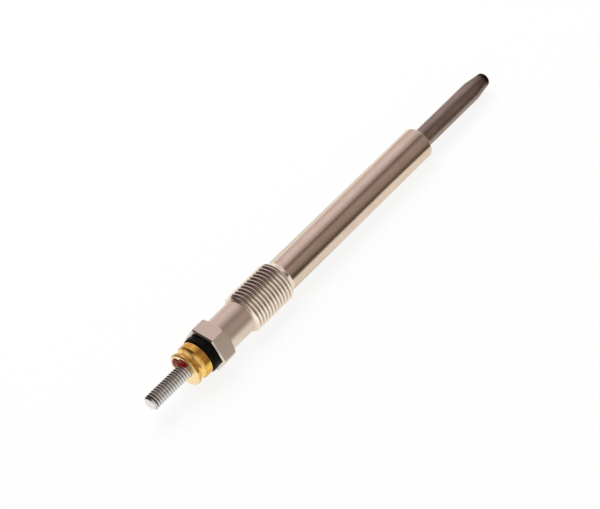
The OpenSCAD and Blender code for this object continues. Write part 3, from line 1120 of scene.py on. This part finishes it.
def add_surroundings():
    """World: pale back and dim warm front towards the tip, bright front and dim back towards the stud.

    Both ramps run over the angle in the plane across the plug, from the front horizon over the zenith to the
    back one. The lean towards the tip blends them.
    """
    world = bpy.data.worlds.new("surroundings")
    world.use_nodes = True
    bpy.context.scene.world = world
    tree = world.node_tree
    direction = add_node(tree, "ShaderNodeTexCoord").outputs["Generated"]
    parts = add_node(tree, "ShaderNodeSeparateXYZ", {"Vector": direction}).outputs
    front = combine(tree, "MULTIPLY", parts["Y"], -1.0)
    over = combine(tree, "ARCTAN2", parts["Z"], front)
    turned = span(tree, over, 0.0, math.pi, 0.0, 1.0)
    ahead = ramp(
        tree,
        turned,
        [
            (0.0, (0.17, 0.12, 0.09)),
            (0.06, (0.28, 0.215, 0.185)),
            (0.12, (0.335, 0.26, 0.225)),
            (0.30, (0.395, 0.31, 0.285)),
            (0.44, (0.15, 0.105, 0.09)),
            (0.515, (0.45, 0.37, 0.36)),
            (0.60, (0.62, 0.52, 0.53)),
            (0.69, (0.82, 0.70, 0.72)),
            (0.79, (0.82, 0.70, 0.72)),
            (0.91, (0.72, 0.60, 0.61)),
            (1.0, (0.52, 0.43, 0.42)),
        ],
    )
    behind = ramp(
        tree,
        turned,
        [
            (0.0, (0.55, 0.49, 0.45)),
            (0.12, (0.76, 0.69, 0.64)),
            (0.38, (0.80, 0.73, 0.68)),
            (0.50, (0.30, 0.25, 0.22)),
            (0.58, (0.07, 0.05, 0.04)),
            (0.94, (0.06, 0.043, 0.035)),
            (1.0, (0.06, 0.045, 0.035)),
        ],
    )
    lean = dot(tree, direction, (1.0, 0.25, 0.0))
    towards_tip = span(tree, lean, -0.25, 0.2, 0.0, 1.0)
    light = blend(tree, towards_tip, behind, ahead)
    tree.links.new(light, tree.nodes["Background"].inputs["Color"])


def add_lamp(settings):
    """One large soft lamp above and behind the plug, kept out of reflections."""
    stage = settings.stage
    data = bpy.data.lights.new("soft_lamp", "AREA")
    data.size = stage.lamp_size
    data.energy = stage.lamp_power
    lamp = bpy.data.objects.new("soft_lamp", data)
    to_lamp = Vector((0.1, 0.45, 1.0))
    place = to_lamp * stage.lamp_height
    lamp.matrix_world = Matrix.Translation(place) @ place.to_track_quat("Z", "Y").to_matrix().to_4x4()
    lamp.visible_glossy = False
    bpy.context.scene.collection.objects.link(lamp)


def add_camera(settings):
    """Camera at its azimuth, elevation and distance from a point near the plug's axis, turned by its roll."""
    stage = settings.stage
    stud_end, along, _, _ = plug_frame(settings)
    aim = stud_end + along * stage.aim + Vector(stage.aim_side)
    level = math.cos(stage.elevation)
    back = Vector(
        (math.sin(stage.azimuth) * level, -math.cos(stage.azimuth) * level, math.sin(stage.elevation))
    )
    right = Vector((math.cos(stage.azimuth), math.sin(stage.azimuth), 0.0))
    turned = Matrix.Rotation(stage.roll, 3, back) @ right
    above = back.cross(turned)
    data = bpy.data.cameras.new("camera")
    data.sensor_fit = "HORIZONTAL"
    data.lens = stage.lens
    data.clip_start = 0.01
    data.clip_end = 20.0
    camera = bpy.data.objects.new("camera", data)
    camera.matrix_world = Matrix.Translation(aim + back * stage.distance) @ Matrix(
        (turned, above, back)
    ).transposed().to_4x4()
    bpy.context.scene.collection.objects.link(camera)
    bpy.context.scene.camera = camera


class GLOWPLUG_OT_stage(Operator):
    """Set up the floor, the light and the camera"""

    bl_idname = "glow_plug.stage"
    bl_label = "Stage"

    def execute(self, context):
        settings = context.scene.glow_plug
        add_floor(settings)
        add_surroundings()
        add_lamp(settings)
        add_camera(settings)
        context.scene.view_settings.view_transform = "Standard"
        return {"FINISHED"}


class GLOWPLUG_PT_panel(Panel):
    """Lists the plug's pieces and settings"""

    bl_idname = "GLOWPLUG_PT_panel"
    bl_label = "Glow plug"
    bl_space_type = "VIEW_3D"
    bl_region_type = "UI"
    bl_category = "Glow plug"

    def draw(self, context):
        settings = context.scene.glow_plug
        for operator in OPERATORS:
            self.layout.operator(operator.bl_idname)
        for group in (settings.shell, settings.element, settings.terminal, settings.finish, settings.stage):
            box = self.layout.box()
            for name in group.__annotations__:
                box.prop(group, name)


GROUPS = (ShellSizes, ElementSizes, TerminalSizes, Finishes, StageSettings, PlugSettings)
OPERATORS = (
    GLOWPLUG_OT_shell,
    GLOWPLUG_OT_glow_tube,
    GLOWPLUG_OT_terminal_rod,
    GLOWPLUG_OT_round_nut,
    GLOWPLUG_OT_insulating_washer,
    GLOWPLUG_OT_locking_lacquer,
    GLOWPLUG_OT_inner_parts,
    GLOWPLUG_OT_stage,
)


def register():
    """Registers every class and hangs the settings on the scene."""
    for kind in (*GROUPS, *OPERATORS, GLOWPLUG_PT_panel):
        bpy.utils.register_class(kind)
    bpy.types.Scene.glow_plug = PointerProperty(type=PlugSettings)


def unregister():
    """Takes back what register did."""
    del bpy.types.Scene.glow_plug
    for kind in (GLOWPLUG_PT_panel, *reversed(OPERATORS), *reversed(GROUPS)):
        bpy.utils.unregister_class(kind)


def main():
    """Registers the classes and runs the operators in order."""
    register()
    for operator in OPERATORS:
        group, name = operator.bl_idname.split(".")
        getattr(getattr(bpy.ops, group), name)()


if __name__ == "__main__":
    main()
